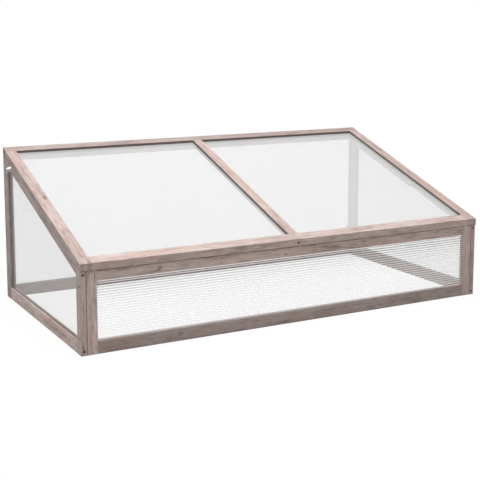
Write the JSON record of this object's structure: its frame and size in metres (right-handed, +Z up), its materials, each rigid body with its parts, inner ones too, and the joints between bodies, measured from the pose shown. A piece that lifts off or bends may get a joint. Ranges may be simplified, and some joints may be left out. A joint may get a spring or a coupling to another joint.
{
  "type": "cold frame",
  "caption": "Low timber cold frame with clear twin-wall panes on all sides and a sloping lid on rear hinges, held open by wooden props with wing nuts.",
  "frame": {"origin": "middle of the overall footprint, on the ground", "axes": "+X along the length to the right, +Y to the hinged back, +Z up; the low front faces -Y"},
  "size_m": [1.124, 0.5806, 0.3972],
  "materials": {
    "stained_timber": "matt grey-brown stain with open grain",
    "twin_wall_sheet": "clear, glossy fluted sheet",
    "zinc_plated_steel": "zinc plated",
    "blackened_steel": "blackened, dull"
  },
  "bodies": {
    "body": {"left_front_post": "stained_timber", "left_rear_post": "stained_timber", "left_bottom_rail": "stained_timber", "left_slope_rail": "stained_timber", "left_pane": "twin_wall_sheet", "right_front_post": "stained_timber", "right_rear_post": "stained_timber", "right_bottom_rail": "stained_timber", "right_slope_rail": "stained_timber", "right_pane": "twin_wall_sheet", "front_left_stile": "stained_timber", "front_right_stile": "stained_timber", "front_top_rail": "stained_timber", "front_bottom_rail": "stained_timber", "front_pane": "twin_wall_sheet", "back_top_rail": "stained_timber", "back_bottom_rail": "stained_timber", "back_pane": "twin_wall_sheet", "side_frame_screws": "blackened_steel", "corner_screws": "blackened_steel", "front_rail_screws": "blackened_steel", "left_hinge_body_leaf": "zinc_plated_steel", "left_hinge_pin": "zinc_plated_steel", "right_hinge_body_leaf": "zinc_plated_steel", "right_hinge_pin": "zinc_plated_steel", "hinge_body_screws": "zinc_plated_steel", "left_prop_bolt": "zinc_plated_steel", "left_prop_washer": "zinc_plated_steel", "right_prop_bolt": "zinc_plated_steel", "right_prop_washer": "zinc_plated_steel"},
    "lid": {"lid_left_rail": "stained_timber", "lid_right_rail": "stained_timber", "lid_front_rail": "stained_timber", "lid_back_rail": "stained_timber", "lid_mid_bar": "stained_timber", "lid_left_pane": "twin_wall_sheet", "lid_right_pane": "twin_wall_sheet", "lid_screws": "blackened_steel", "left_hinge_lid_leaf": "zinc_plated_steel", "right_hinge_lid_leaf": "zinc_plated_steel", "hinge_lid_screws": "zinc_plated_steel"},
    "left_prop": {"left_prop": "stained_timber"},
    "right_prop": {"right_prop": "stained_timber"},
    "left_wing_nut": {"left_wing_nut": "zinc_plated_steel"},
    "right_wing_nut": {"right_wing_nut": "zinc_plated_steel"}
  },
  "joints": [
    {"name": "lid_hinge", "type": "hinge", "parent": "body", "child": "lid", "pos_m": [0, 0.28715, 0.38016], "axis": [-1, 0, 0], "range_deg": [0, 100]},
    {"name": "left_prop_pivot", "type": "hinge", "parent": "body", "child": "left_prop", "pos_m": [-0.536, 0.21765, 0.34894], "axis": [-1, 0, 0], "range_deg": [0, 114]},
    {"name": "right_prop_pivot", "type": "hinge", "parent": "body", "child": "right_prop", "pos_m": [0.536, 0.21765, 0.34894], "axis": [-1, 0, 0], "range_deg": [0, 114]},
    {"name": "left_wing_nut_turn", "type": "hinge", "parent": "body", "child": "left_wing_nut", "pos_m": [-0.5512, 0.21765, 0.34894], "axis": [-1, 0, 0], "continuous": true},
    {"name": "right_wing_nut_turn", "type": "hinge", "parent": "body", "child": "right_wing_nut", "pos_m": [0.5512, 0.21765, 0.34894], "axis": [1, 0, 0], "continuous": true}
  ],
  "couplings": [
    {"joint": "left_prop_pivot", "follows": "lid_hinge", "ratio": 1.14},
    {"joint": "right_prop_pivot", "follows": "lid_hinge", "ratio": 1.14}
  ]
}
